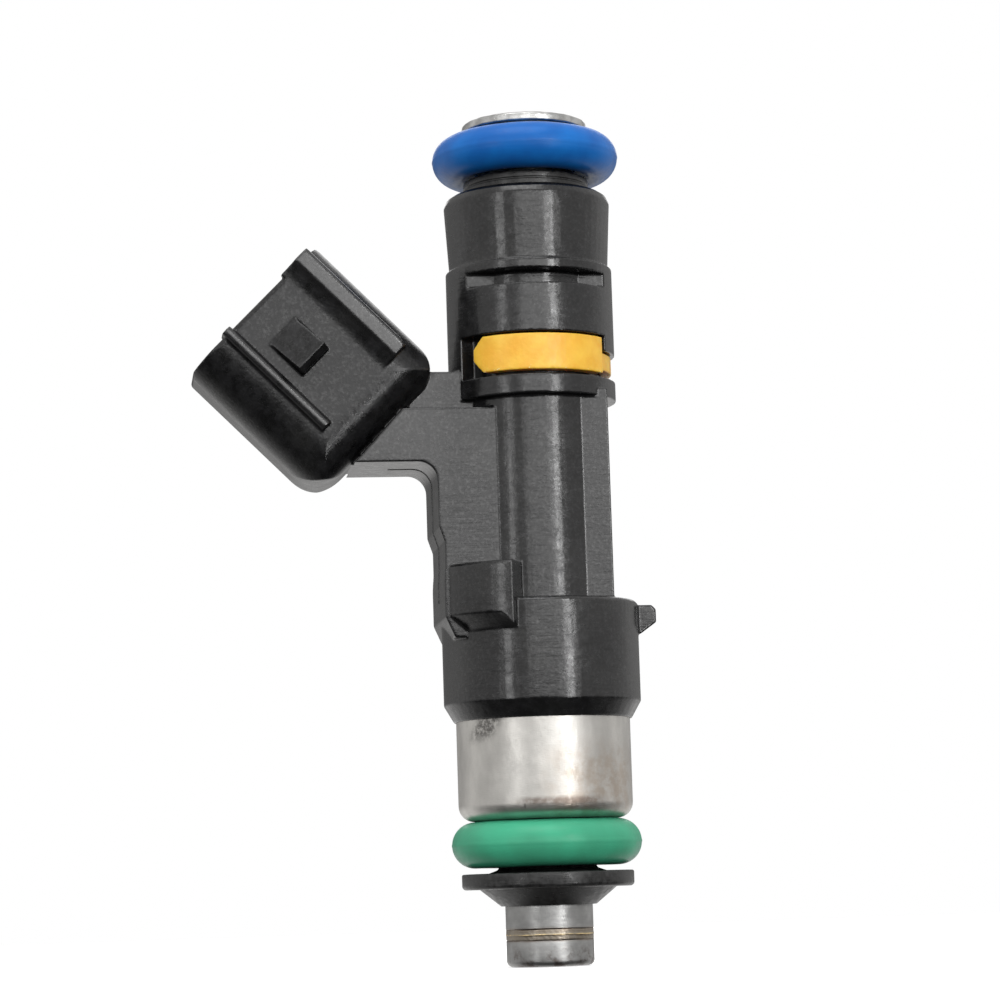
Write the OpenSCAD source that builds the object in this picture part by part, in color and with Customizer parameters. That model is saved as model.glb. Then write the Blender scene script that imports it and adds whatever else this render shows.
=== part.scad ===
// Top-feed port fuel injector, in millimetres.
// +Z is the valve axis, from the nozzle tip at z = 0 up to the fuel inlet.
// The electrical plug shroud points to -X, tilted upwards by plug_tilt.

/* [Nozzle end] */
// Outside diameter of the thin valve tube that ends as the nozzle
nozzle_d = 6.7; // [6.4:0.1:7.0]
// Wall of the valve tube
tube_wall = 0.5; // [0.4:0.05:0.6]
// Height of the middle of the weld round the nozzle
weld_z = 2.4; // [2.2:0.1:3.0]
// Diameter of the support ring's rim
support_d = 13.2; // [12.8:0.1:13.4]
// Height of the underside of the support ring's rim
support_z = 5.9; // [5.7:0.1:6.0]

/* [Seal rings] */
// Cord diameter of both seal rings
seal_cord = 3.53; // [3.4:0.01:3.6]
// Bore of both seal rings, unstretched
seal_bore = 7.52; // [7.4:0.01:7.6]
// Height of the lower seal ring's centre
lower_seal_z = 9.3; // [9.2:0.05:9.4]
// Height of the upper seal ring's centre
upper_seal_z = 62.8; // [62.7:0.05:62.9]

/* [Coil housing] */
// Outside diameter of the steel can round the coil
can_d = 13.4; // [13.2:0.1:13.6]
// Height of the can's bottom
can_z = 11.1; // [11.1:0.05:11.2]
// Height of the can from bottom to top
can_h = 14.6; // [14.4:0.1:14.8]
// Diameter of the plastic skirt over the can
skirt_d = 15.2; // [15.0:0.1:15.6]
// Height of the skirt's lower edge
skirt_z = 18.7; // [18.5:0.1:19.0]

/* [Middle body] */
// Height of the skirt's upper face
waist_z = 27.7; // [27.5:0.1:27.8]
// Diameter of the round middle of the body
waist_d = 11.4; // [11.2:0.1:11.6]
// Thickness of the flat web and arm that carry the plug
web_t = 9.0; // [8.8:0.1:9.2]
// Width of the squared side opposite the plug
flat_w = 9.7; // [9.4:0.1:9.8]

/* [Collars] */
// Diameter of the collars above the middle body
collar_d = 13.0; // [12.8:0.1:13.2]
// Height of the underside of the lowest collar
collar_z = 43.3; // [43.2:0.1:43.4]
// Height of the top of the uppermost collar
collar_top = 59.8; // [59.7:0.05:59.9]
// Height of the retaining clip's slot
clip_slot_h = 1.1; // [1.0:0.05:1.2]

/* [Plug shroud] */
// Tilt of the plug above horizontal
plug_tilt = 45; // [44:1:46]
// Width of the shroud, in the plane of the arm
plug_w = 14.0; // [13.8:0.1:14.2]
// Thickness of the shroud, across the arm
plug_t = 10.0; // [9.8:0.1:10.2]
// Length of the shroud from its base to its mouth
plug_l = 13.6; // [13.4:0.1:13.8]
// Wall of the shroud at its mouth
plug_wall = 1.6; // [1.5:0.05:1.7]
// Distance between the two contact blades
blade_pitch = 5.0; // [4.8:0.1:5.2]

/* [Valve] */
// Travel of the needle between closed and open
needle_lift = 0.08; // [0.06:0.01:0.08]
// Height of the air gap under the pole core
gap_z = 18.6; // [18.4:0.1:18.8]
// Diameter of the valve ball
ball_d = 3.1; // [3.0:0.05:3.15]
// Number of spray holes
spray_holes = 6; // [4:1:8]
// Diameter of each spray hole
spray_d = 0.25; // [0.2:0.01:0.3]

/* [Hidden] */
$fn = 96;
eps = 0.01;
clear = 0.05;

tube_r = nozzle_d / 2;
tube_bore = tube_r - tube_wall;
seal_r = (seal_bore + seal_cord) / 2;
neck_r = seal_bore / 2 - eps;
can_r = can_d / 2;
can_top = can_z + can_h;
can_wall = 0.6;
can_floor = 1.6;
skirt_r = skirt_d / 2;
waist_r = waist_d / 2;
collar_r = collar_d / 2;

weld_h = 0.8;
weld_depth = 0.2;

// Inlet tube, which slips over the top of the valve tube
inlet_r = neck_r;
inlet_bore = 3.2;
inlet_z = 34;
valve_tube_top = 37;
lip_r = 4.9;
lip_t = 0.7;
inlet_top = upper_seal_z + seal_cord / 2 + 0.335 + lip_t;
backup_top = upper_seal_z - seal_cord / 2 - 0.035;

// Collar levels, from the bottom up
rim_h = 1.5;
clip_z = collar_z + rim_h;
clip_h = 3.3;
band_z = clip_z + clip_h;
slot_z = collar_top - 7.9;
thin_z = slot_z + clip_slot_h;
thin_h = 0.8;
clip_floor_r = 5.3;
slot_floor_r = 4.9;
slot_half = 5.84;
slot_flat = 3.65;
rib_angle = 26;
key_angle = 36;
key_h = 1.2;

// Web, arm and plug
web_x = 8.1;
web_step_x = 7.7;
arm_z = 38.4;
arm_top = 42.55;
saddle_top = 45.6;
saddle_t = 5.4;
plug_x = -12.06;
plug_z = 40.86;
plug_r = 3.6;
plug_floor = 3.3;
plug_rib_z = 3.3;
blade_w = 1.5;
blade_t = 0.64;
strip_w = 0.9;
blade_tip = 9.3;
inner_leg_x = -5.15;
outer_leg_x = -6.85;
inner_run_z = 41.6;
outer_run_z = 39.3;
jog_z = 26.6;
jog_h = 0.6;
outer_foot_y = 1.92;

// Coil
bobbin_z = can_z + can_floor + 0.2;
bobbin_h = 11;
bobbin_top = bobbin_z + bobbin_h;
foot_z = bobbin_top - 0.5;
lead_r = 0.15;
lead_rise = 1.2;
bobbin_bore = tube_r + 0.1;
bobbin_r = can_r - can_wall - 0.2;
flange_t = 0.8;
winding_inner = 3.95;
winding_outer = 5.55;
yoke_t = 1.6;

// Valve
gap = needle_lift + 0.01;
core_r = tube_bore;
core_bore = 1.5;
core_top = 36.5;
sleeve_z = 30.5;
sleeve_h = 5.5;
sleeve_bore = 0.9;
armature_r = tube_bore - clear;
armature_h = 7.1;
spring_seat_z = gap_z - gap - 4.0;
spring_r = 1.15;
spring_wire_r = 0.17;
needle_r = 1.15;
needle_bore = 0.75;
ball_r = ball_d / 2;
seat_z = 0.5;
seat_top = 4.0;
seat_hole = 0.7;
seat_hole_top = 1.0;
guide_r = ball_r + 0.06;
ball_z = seat_hole_top + ball_r * sqrt(2) - seat_hole + eps;
plate_z = 0.3;
plate_t = 0.2;

// Filter
filter_top = 62.6;
filter_h = 9;
filter_r = inlet_bore;
basket_r = 2.5;
basket_wall = 0.12;
gauze_r = basket_r - 0.12;

// A plain ring about the valve axis
module ring(r_out, r_in, z0, z1) {
    rotate_extrude()
        translate([r_in, z0])
            square([r_out - r_in, z1 - z0]);
}

// A sector of the plane, symmetric about the direction given by mid
module wedge(mid, half) {
    reach = 12;
    rotate([0, 0, mid])
        polygon([
            [0, 0],
            [reach * cos(half), -reach * sin(half)],
            [reach * 1.3, 0],
            [reach * cos(half), reach * sin(half)]
        ]);
}

// Places its children in the plug's frame: local Z points out of the mouth
module in_plug() {
    translate([plug_x, 0, plug_z])
        rotate([0, plug_tilt - 90, 0])
            children();
}

// A rectangle with round corners, centred
module round_rect(w, t, r) {
    for (x = [-1, 1], y = [-1, 1])
        translate([x * (w / 2 - r), y * (t / 2 - r)])
            circle(r);
    square([w - 2 * r, t], center = true);
    square([w, t - 2 * r], center = true);
}

// Profile of a block with two round corners at its base and two cut ones at its top
module round_base(w, l, r) {
    cut = 0.3;
    for (x = [-1, 1])
        translate([x * (w / 2 - r), r])
            circle(r);
    translate([-w / 2 + r, 0])
        square([w - 2 * r, l - 1]);
    polygon([
        [-w / 2, r],
        [w / 2, r],
        [w / 2, l - cut],
        [w / 2 - cut, l],
        [-w / 2 + cut, l],
        [-w / 2, l - cut]
    ]);
}

// ---- The plastic moulding ----

module plug_block() {
    base_r = 3.0;
    intersection() {
        linear_extrude(plug_l)
            round_rect(plug_w, plug_t, plug_r);
        translate([0, plug_t / 2, 0])
            rotate([90, 0, 0])
                linear_extrude(plug_t)
                    round_base(plug_w, plug_l, base_r);
        translate([-plug_w / 2, 0, 0])
            rotate([90, 0, 90])
                linear_extrude(plug_w)
                    round_base(plug_t, plug_l, base_r);
    }
}

// Two guide ribs on the front of the shroud, the right one with a sloped side
module plug_ribs() {
    front = plug_t / 2;
    root = 1.6;
    past_mouth = 0.25;
    left_x = -3.45;
    left_w = 0.9;
    left_h = 0.55;
    right_x = 4.55;
    right_w = 1.3;
    right_h = 0.75;
    right_edge = 0.4;
    slope_w = 1.5;
    slope_r = (slope_w * slope_w + right_h * right_h) / (2 * right_h);
    translate([0, 0, plug_rib_z])
        linear_extrude(plug_l + past_mouth - plug_rib_z) {
            translate([left_x + left_w / 2, -front - left_h + left_w / 2])
                circle(left_w / 2);
            translate([left_x, -front - left_h + left_w / 2])
                square([left_w, root]);
            difference() {
                translate([right_x - slope_w, -front - right_h])
                    square([slope_w + 0.1, right_h + 0.6]);
                translate([right_x - slope_w, -front - slope_r])
                    circle(slope_r);
            }
            translate([right_x, -front - right_h])
                square([right_w - right_edge, root + right_h]);
            translate([right_x + right_w - right_edge, -front - right_h + right_edge])
                circle(right_edge);
            translate([right_x, -front - right_h + right_edge])
                square([right_w, root]);
        }
}

// Ramp that the cable plug's latch snaps over
module latch_ramp() {
    ramp_w = 2.8;
    ramp_z = 7.3;
    ramp_l = 3.6;
    ramp_h = 1.15;
    chamfer = 0.5;
    root = 0.4;
    translate([-ramp_w / 2, -plug_t / 2, ramp_z])
        rotate([90, 0, 90])
            linear_extrude(ramp_w)
                polygon([
                    [root, 0],
                    [-ramp_h + chamfer, 0],
                    [-ramp_h, chamfer],
                    [0, ramp_l],
                    [root, ramp_l]
                ]);
}

module plug_socket() {
    translate([0, 0, plug_floor])
        linear_extrude(plug_l)
            round_rect(plug_w - 2 * plug_wall - 0.1, plug_t - 2 * plug_wall, 2.0);
}

// Side view of the web, the arm and the fillet between them
module arm_profile() {
    fillet = 1.5;
    difference() {
        polygon([
            [0, skirt_z + 6.2],
            [-7.1, skirt_z + 6.2],
            [-web_step_x - 0.1, waist_z - 1.2],
            [-web_step_x - 0.1, 29.2],
            [-web_step_x, 30.5],
            [-web_step_x, 32.2],
            [-web_x, 33.4],
            [-web_x, arm_z - fillet],
            [-web_x - fillet, arm_z],
            [-14.4, arm_z],
            [-10.6, arm_top],
            [0, arm_top]
        ]);
        translate([-web_x - fillet, arm_z - fillet])
            circle(fillet);
    }
}

module web_and_arm() {
    translate([0, web_t / 2, 0])
        rotate([90, 0, 0])
            linear_extrude(web_t)
                arm_profile();
    translate([-10, -saddle_t / 2, arm_top - 1])
        cube([10, saddle_t, saddle_top - arm_top + 1]);
}

// Turned outside of the moulding: skirt, middle and collars
module turned_outside() {
    chamfer_h = 1.3;
    chamfer_r = 6.85;
    rotate_extrude()
        polygon([
            [0, skirt_z],
            [chamfer_r, skirt_z],
            [skirt_r, skirt_z + chamfer_h],
            [skirt_r, waist_z - 0.25],
            [skirt_r - 0.25, waist_z],
            [waist_r, waist_z],
            [waist_r, collar_z],
            [collar_r, collar_z],
            [collar_r, thin_z + thin_h],
            [collar_r - 0.3, thin_z + thin_h],
            [collar_r, collar_top - 0.8],
            [collar_r - 0.2, collar_top - 0.3],
            [collar_r - 0.7, collar_top],
            [0, collar_top]
        ]);
}

// Flat-sided block on the side opposite the plug
module marking_flat() {
    translate([0, -flat_w / 2, waist_z - 1])
        cube([5.15, flat_w, collar_z - waist_z + 1.5]);
}

// Short curved blocks beside the web, where the terminals leave the coil.
// Their underside slopes out from the skirt and turns down at the end away from the web.
module shoulder_blocks() {
    block_r = 8.7;
    block_z = 25.4;
    block_top = 30.45;
    start = 20.7;
    end = 61;
    half = (end - start) / 2;
    rise = 1.15;
    turn_half = 8.5;
    turn_r = 3.05;
    turn_top = block_z + rise + 0.3;
    for (side = [-1, 1])
        rotate([0, 0, 180 - side * (90 - (start + end) / 2)]) {
            intersection() {
                rotate_extrude()
                    polygon([
                        [4, block_z],
                        [skirt_r, block_z],
                        [block_r, block_z + rise],
                        [block_r, block_top - 0.2],
                        [block_r - 0.2, block_top],
                        [4, block_top]
                    ]);
                translate([0, 0, block_z - 2])
                    linear_extrude(10)
                        wedge(0, half);
            }
            difference() {
                intersection() {
                    ring(block_r, 4, block_z, block_z + rise + 0.1);
                    translate([0, 0, block_z - 2])
                        linear_extrude(10)
                            wedge(-side * (half - turn_half), turn_half);
                }
                rotate([0, 0, -side * (half - 2 * turn_half)])
                    translate([0, 0, turn_top - turn_r])
                        rotate([0, 90, 0])
                            cylinder(r = turn_r, h = 12);
            }
        }
}

// Locating nub on the skirt
module skirt_nub() {
    nub_t = 2.2;
    nub_top = 27.42;
    nub_x = 8.97;
    edge = 0.35;
    translate([0, nub_t / 2, 0])
        rotate([90, 0, 0])
            linear_extrude(nub_t)
                polygon([
                    [skirt_r - 1, nub_top],
                    [nub_x - edge, nub_top],
                    [nub_x, nub_top - edge],
                    [nub_x, nub_top - 1.35],
                    [skirt_r + 0.1, nub_top - 2.25],
                    [skirt_r - 1, nub_top - 2.25]
                ]);
}

// Slots for the two legs of the retaining clip, flat at the bottom beside the round core
module clip_slot() {
    for (side = [-1, 1])
        difference() {
            translate([-slot_half, side * (slot_flat + 4) - 4, slot_z])
                cube([2 * slot_half, 8, clip_slot_h]);
            translate([0, 0, slot_z - 1])
                cylinder(r = slot_floor_r, h = clip_slot_h + 2);
        }
}

// Groove for the marker clip, with a full rib on one side and half a key on the other
module marker_groove() {
    difference() {
        ring(12, clip_floor_r, clip_z, band_z);
        translate([0, 0, clip_z - 1])
            linear_extrude(clip_h + 2)
                wedge(180, rib_angle);
        translate([0, 0, band_z - key_h])
            linear_extrude(key_h + 1)
                wedge(0, key_angle);
    }
}

// Room inside the moulding for the metal parts that it is moulded round
module core_cavity() {
    translate([0, 0, can_z])
        cylinder(r = can_r, h = can_h);
    translate([0, 0, can_top - 1])
        cylinder(r = tube_r, h = inlet_z - can_top + 1 + eps);
    translate([0, 0, inlet_z])
        cylinder(r = inlet_r, h = collar_top - inlet_z + 1);
}

module overmould_body() {
    color([0.13, 0.13, 0.14])
        difference() {
            union() {
                turned_outside();
                marking_flat();
                web_and_arm();
                shoulder_blocks();
                skirt_nub();
                in_plug() {
                    plug_block();
                    plug_ribs();
                    latch_ramp();
                }
            }
            core_cavity();
            clip_slot();
            marker_groove();
            in_plug()
                plug_socket();
            terminal_inner_shape();
            terminal_outer_shape();
        }
}

// ---- Tubes ----

module inlet_tube() {
    inner_round = 0.2;
    color([0.78, 0.78, 0.77])
        rotate_extrude()
            polygon([
                [tube_r, inlet_z],
                [inlet_r, inlet_z],
                [inlet_r, inlet_top - lip_t],
                [lip_r, inlet_top - lip_t],
                [lip_r, inlet_top],
                [inlet_bore + inner_round, inlet_top],
                [inlet_bore, inlet_top - inner_round],
                [inlet_bore, valve_tube_top],
                [tube_r, valve_tube_top]
            ]);
}

module valve_tube() {
    tip_round = 0.45;
    color([0.72, 0.72, 0.72])
        rotate_extrude()
            difference() {
                union() {
                    translate([tube_bore, tip_round])
                        square([tube_wall, valve_tube_top - tip_round]);
                    translate([tube_r - tip_round, tip_round])
                        circle(tip_round);
                    translate([tube_bore, 0])
                        square([tube_wall - tip_round, 1]);
                }
                square([tube_bore, 1]);
                translate([tube_r - weld_depth, weld_z - weld_h / 2])
                    square([weld_depth + 1, weld_h]);
            }
}

module seat_weld_bead() {
    color([0.62, 0.52, 0.36])
        ring(tube_r, tube_r - weld_depth, weld_z - weld_h / 2, weld_z + weld_h / 2);
}

// ---- Seals and rings ----

module seal_ring(z) {
    rotate_extrude()
        translate([seal_r, z])
            circle(seal_cord / 2);
}

module upper_seal_ring() {
    color([0.12, 0.38, 0.75])
        seal_ring(upper_seal_z);
}

module lower_seal_ring() {
    color([0.18, 0.6, 0.42])
        seal_ring(lower_seal_z);
}

module upper_backup_ring() {
    edge = 0.15;
    color([0.08, 0.08, 0.09])
        rotate_extrude()
            polygon([
                [inlet_r, collar_top],
                [lip_r, collar_top],
                [lip_r, backup_top - edge],
                [lip_r - edge, backup_top],
                [inlet_r, backup_top]
            ]);
}

module lower_support_ring() {
    cone_z = 4.6;
    cone_low_r = 3.65;
    cone_high_r = 5.25;
    rim_top = support_z + 1.2;
    seat_edge_r = 4.6;
    color([0.12, 0.12, 0.13])
        rotate_extrude()
            polygon([
                [tube_r, cone_z],
                [cone_low_r, cone_z],
                [cone_high_r, support_z],
                [support_d / 2, support_z],
                [support_d / 2, rim_top],
                [seat_edge_r, rim_top],
                [neck_r, rim_top + 0.3],
                [neck_r, can_z],
                [tube_r, can_z]
            ]);
}

// Coloured clip: two wide arms with cut corners, joined by a low tongue round the far side
module marker_clip() {
    clip_r = 6.4;
    inner_r = clip_floor_r + 0.04;
    low = clip_z + 0.35;
    high = band_z - 0.15;
    mouth = 38;
    corner = 0.95;
    tongue_r = 6.2;
    tongue_low = low + 0.25;
    tongue_high = band_z - key_h - 0.1;
    color([0.95, 0.66, 0.18]) {
        difference() {
            ring(clip_r, inner_r, low, high);
            for (mid = [0, 180])
                translate([0, 0, low - 1])
                    linear_extrude(clip_h + 2)
                        wedge(mid, mouth);
            for (side = [0, 1], up = [0, 1])
                mirror([0, side, 0])
                    rotate([0, 0, 180 + mouth])
                        translate([0, 0, up == 1 ? high : low])
                            mirror([0, 0, 1 - up])
                                rotate([90, 0, 90])
                                    linear_extrude(clip_r + 1)
                                        polygon([
                                            [-1, -corner - 1],
                                            [corner + 1, 1],
                                            [-1, 1]
                                        ]);
        }
        intersection() {
            ring(tongue_r, inner_r, tongue_low, tongue_high);
            translate([0, 0, low - 1])
                linear_extrude(clip_h + 2)
                    wedge(0, mouth + 6);
        }
    }
}

// ---- Magnetic circuit and coil ----

module magnet_housing() {
    corner = 1.2;
    color([0.74, 0.73, 0.71])
        rotate_extrude()
            difference() {
                union() {
                    translate([can_r - corner, can_z + corner])
                        circle(corner);
                    translate([tube_r, can_z])
                        square([can_r - corner - tube_r, can_h]);
                    translate([tube_r, can_z + corner])
                        square([can_r - tube_r, can_h - corner]);
                }
                translate([0, can_z + can_floor])
                    square([can_r - can_wall, can_h]);
            }
}

// Iron ring that closes the top of the can, slotted for the terminals
module yoke_ring() {
    slot_y = -1.1;
    slot_w = 4.2;
    slot_l = can_r - tube_r - 0.1;
    color([0.6, 0.6, 0.6])
        difference() {
            ring(can_r - can_wall, tube_r, can_top - yoke_t, can_top);
            translate([-can_r, slot_y, can_top - yoke_t - 1])
                cube([slot_l, slot_w, yoke_t + 2]);
        }
}

module coil_bobbin() {
    lead_clear = 0.06;
    color([0.25, 0.22, 0.18])
        difference() {
            rotate_extrude()
                polygon([
                    [bobbin_bore, bobbin_z],
                    [bobbin_r, bobbin_z],
                    [bobbin_r, bobbin_z + flange_t],
                    [winding_inner, bobbin_z + flange_t],
                    [winding_inner, bobbin_z + bobbin_h - flange_t],
                    [bobbin_r, bobbin_z + bobbin_h - flange_t],
                    [bobbin_r, bobbin_z + bobbin_h],
                    [bobbin_bore, bobbin_z + bobbin_h]
                ]);
            terminal_inner_shape();
            terminal_outer_shape();
            coil_leads_shape(lead_clear);
        }
}

module coil_winding() {
    color([0.72, 0.38, 0.16])
        ring(winding_outer, winding_inner, bobbin_z + flange_t, bobbin_z + bobbin_h - flange_t);
}

// A thin wire from the winding up through the flange to each terminal's foot
module coil_leads_shape(extra) {
    beside = blade_t / 2 + lead_r;
    for (y = [-beside, outer_foot_y + beside])
        translate([inner_leg_x, y, bobbin_top - flange_t])
            cylinder(r = lead_r + extra, h = flange_t + lead_rise);
}

module coil_leads() {
    color([0.8, 0.45, 0.2])
        coil_leads_shape(0);
}

// A strip of the side view, extruded to the sheet thickness at y
module strip(y) {
    translate([0, y + blade_t / 2, 0])
        rotate([90, 0, 0])
            linear_extrude(blade_t)
                children();
}

// A point of the plug's frame in the side view
function plug_point(u, w) = [
    plug_x + u * sin(plug_tilt) - w * cos(plug_tilt),
    plug_z + u * cos(plug_tilt) + w * sin(plug_tilt)
];

// Where the line at u crosses the height z
function plug_crossing(u, z) = plug_point(u, (z - plug_z - u * cos(plug_tilt)) / sin(plug_tilt));

// Outline of a terminal: a blade with a pointed tip, a level run and a leg down
module terminal_outline(u, run_z, leg_x, low_z) {
    half = blade_w / 2;
    taper = 0.35;
    taper_l = 0.5;
    polygon([
        plug_point(u - half, blade_tip - taper_l),
        plug_point(u - half + taper, blade_tip),
        plug_point(u + half - taper, blade_tip),
        plug_point(u + half, blade_tip - taper_l),
        plug_crossing(u + half, run_z + strip_w),
        [leg_x + strip_w / 2, run_z + strip_w],
        [leg_x + strip_w / 2, low_z],
        [leg_x - strip_w / 2, low_z],
        [leg_x - strip_w / 2, run_z],
        plug_crossing(u - half, run_z)
    ]);
}

module terminal_inner_shape() {
    strip(0)
        terminal_outline(blade_pitch / 2, inner_run_z, inner_leg_x, foot_z);
}

// The outer terminal steps sideways above the coil to reach its own foot
module terminal_outer_shape() {
    strip(0)
        terminal_outline(-blade_pitch / 2, outer_run_z, outer_leg_x, jog_z);
    translate([outer_leg_x - strip_w / 2, 0, jog_z])
        cube([strip_w, outer_foot_y + blade_t / 2, jog_h]);
    translate([outer_leg_x, outer_foot_y - blade_t / 2, jog_z])
        cube([inner_leg_x + strip_w / 2 - outer_leg_x, blade_t, jog_h]);
    translate([inner_leg_x - strip_w / 2, outer_foot_y - blade_t / 2, foot_z])
        cube([strip_w, blade_t, jog_z + jog_h - foot_z]);
}

module terminal_inner() {
    color([0.8, 0.78, 0.7])
        terminal_inner_shape();
}

module terminal_outer() {
    color([0.8, 0.78, 0.7])
        terminal_outer_shape();
}

// ---- Valve ----

module pole_core() {
    color([0.55, 0.55, 0.56])
        ring(core_r, core_bore, gap_z, core_top);
}

module adjusting_sleeve() {
    slit = 0.3;
    color([0.66, 0.66, 0.67])
        difference() {
            ring(core_bore, sleeve_bore, sleeve_z, sleeve_z + sleeve_h);
            translate([0, -slit / 2, sleeve_z - 1])
                cube([core_bore + 1, slit, sleeve_h + 2]);
        }
}

// Points round the spring wire at the given turn angle
function wire_ring(a, z, sides) = [
    for (k = [0 : sides - 1])
        let (b = 360 * k / sides, r = spring_r + spring_wire_r * cos(b))
            [r * cos(a), r * sin(a), z + spring_wire_r * sin(b)]
];

// Height along the spring, with a closed turn at each end
function spring_height(t, turns, low, high) =
    let (
        closed = 2 * spring_wire_r + 0.02,
        span = high - low - 2 * spring_wire_r - 2 * closed,
        end_t = 1 / turns
    )
    low + spring_wire_r
    + closed * (min(t, end_t) / end_t)
    + span * (min(max(t - end_t, 0), 1 - 2 * end_t) / (1 - 2 * end_t))
    + closed * (max(t - (1 - end_t), 0) / end_t);

module return_spring() {
    turns = 10;
    per_turn = 14;
    sides = 6;
    rings = turns * per_turn;
    low = spring_seat_z + 0.01;
    high = sleeve_z - 0.01;
    points = [
        for (i = [0 : rings])
            each wire_ring(360 * i / per_turn, spring_height(i / rings, turns, low, high), sides)
    ];
    faces = concat(
        [[for (k = [0 : sides - 1]) k]],
        [
            for (i = [0 : rings - 1], k = [0 : sides - 1])
                let (n = (k + 1) % sides)
                    [i * sides + k, (i + 1) * sides + k, (i + 1) * sides + n, i * sides + n]
        ],
        [[for (k = [sides - 1 : -1 : 0]) rings * sides + k]]
    );
    color([0.7, 0.7, 0.72])
        polyhedron(points, faces);
}

module armature() {
    top = gap_z - gap;
    color([0.58, 0.58, 0.6])
        rotate_extrude()
            polygon([
                [needle_r, top - armature_h],
                [armature_r - 0.3, top - armature_h],
                [armature_r, top - armature_h + 0.3],
                [armature_r, top],
                [core_bore, top],
                [core_bore, spring_seat_z],
                [needle_r, spring_seat_z]
            ]);
}

module needle_tube() {
    port_d = 0.7;
    top = spring_seat_z - 0.2;
    color([0.68, 0.68, 0.7])
        difference() {
            ring(needle_r, needle_bore, ball_z + 0.9, top);
            translate([0, 0, ball_z])
                sphere(ball_r);
            for (z = [5.2, 10.2], a = [0, 90])
                translate([0, 0, z])
                    rotate([0, 90, a])
                        cylinder(d = port_d, h = 4, center = true, $fn = 24);
        }
}

module valve_ball() {
    color([0.82, 0.82, 0.84])
        translate([0, 0, ball_z])
            sphere(ball_r);
}

module valve_seat() {
    channels = 5;
    channel_r = 0.45;
    color([0.64, 0.64, 0.66])
        difference() {
            rotate_extrude()
                polygon([
                    [seat_hole, seat_z],
                    [tube_bore, seat_z],
                    [tube_bore, seat_top],
                    [guide_r, seat_top],
                    [guide_r, seat_hole_top + guide_r - seat_hole],
                    [seat_hole, seat_hole_top]
                ]);
            for (i = [0 : channels - 1])
                rotate([0, 0, 360 * i / channels])
                    translate([guide_r + 0.1, 0, seat_hole_top + 1.4])
                        cylinder(r = channel_r, h = seat_top, $fn = 24);
        }
}

module orifice_plate() {
    spray_pcd = 1.0;
    color([0.7, 0.7, 0.68])
        difference() {
            ring(tube_bore, 0, plate_z, plate_z + plate_t);
            for (i = [0 : spray_holes - 1])
                rotate([0, 0, 360 * i / spray_holes])
                    translate([spray_pcd / 2, 0, plate_z - 1])
                        cylinder(d = spray_d, h = 3, $fn = 24);
        }
}

// ---- Inlet filter ----

module inlet_filter_frame() {
    ring_h = 1.4;
    base_h = 0.8;
    ribs = 4;
    rib_w = 0.6;
    inner_r = basket_r - 0.35;
    color([0.55, 0.42, 0.2])
        difference() {
            union() {
                ring(filter_r, inner_r, filter_top - ring_h, filter_top);
                translate([0, 0, filter_top - filter_h])
                    cylinder(r = basket_r, h = base_h);
                for (i = [0 : ribs - 1])
                    rotate([0, 0, 360 * i / ribs])
                        translate([inner_r, -rib_w / 2, filter_top - filter_h])
                            cube([basket_r - inner_r, rib_w, filter_h - 0.5]);
            }
            gauze_shape();
        }
}

// Sleeve of fine gauze, moulded into the filter's ribs
module gauze_shape() {
    ring(gauze_r, gauze_r - basket_wall, filter_top - filter_h + 0.4, filter_top - 1.0);
}

module inlet_filter_mesh() {
    color([0.75, 0.72, 0.65])
        gauze_shape();
}

overmould_body();
inlet_tube();
valve_tube();
seat_weld_bead();
upper_seal_ring();
upper_backup_ring();
marker_clip();
lower_seal_ring();
lower_support_ring();
magnet_housing();
yoke_ring();
coil_bobbin();
coil_winding();
coil_leads();
terminal_inner();
terminal_outer();
pole_core();
adjusting_sleeve();
return_spring();
armature();
needle_tube();
valve_ball();
valve_seat();
orifice_plate();
inlet_filter_frame();
inlet_filter_mesh();
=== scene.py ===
import math

import bmesh
import bpy
import numpy as np
from mathutils import Matrix, Vector
from mathutils.bvhtree import BVHTree


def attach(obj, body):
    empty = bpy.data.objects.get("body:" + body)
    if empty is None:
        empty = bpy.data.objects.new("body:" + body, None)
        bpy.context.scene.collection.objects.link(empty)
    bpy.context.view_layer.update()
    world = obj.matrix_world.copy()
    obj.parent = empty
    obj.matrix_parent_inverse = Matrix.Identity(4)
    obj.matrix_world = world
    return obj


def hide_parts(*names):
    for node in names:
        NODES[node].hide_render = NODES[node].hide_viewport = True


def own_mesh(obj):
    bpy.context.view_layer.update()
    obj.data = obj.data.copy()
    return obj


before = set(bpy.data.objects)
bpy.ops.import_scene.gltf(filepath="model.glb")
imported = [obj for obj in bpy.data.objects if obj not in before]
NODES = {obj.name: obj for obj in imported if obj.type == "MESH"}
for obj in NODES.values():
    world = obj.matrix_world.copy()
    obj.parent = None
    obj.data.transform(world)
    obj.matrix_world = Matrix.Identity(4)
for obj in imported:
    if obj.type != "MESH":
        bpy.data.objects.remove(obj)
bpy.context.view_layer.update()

MM = 0.001
COLLECTION = bpy.context.scene.collection

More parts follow.
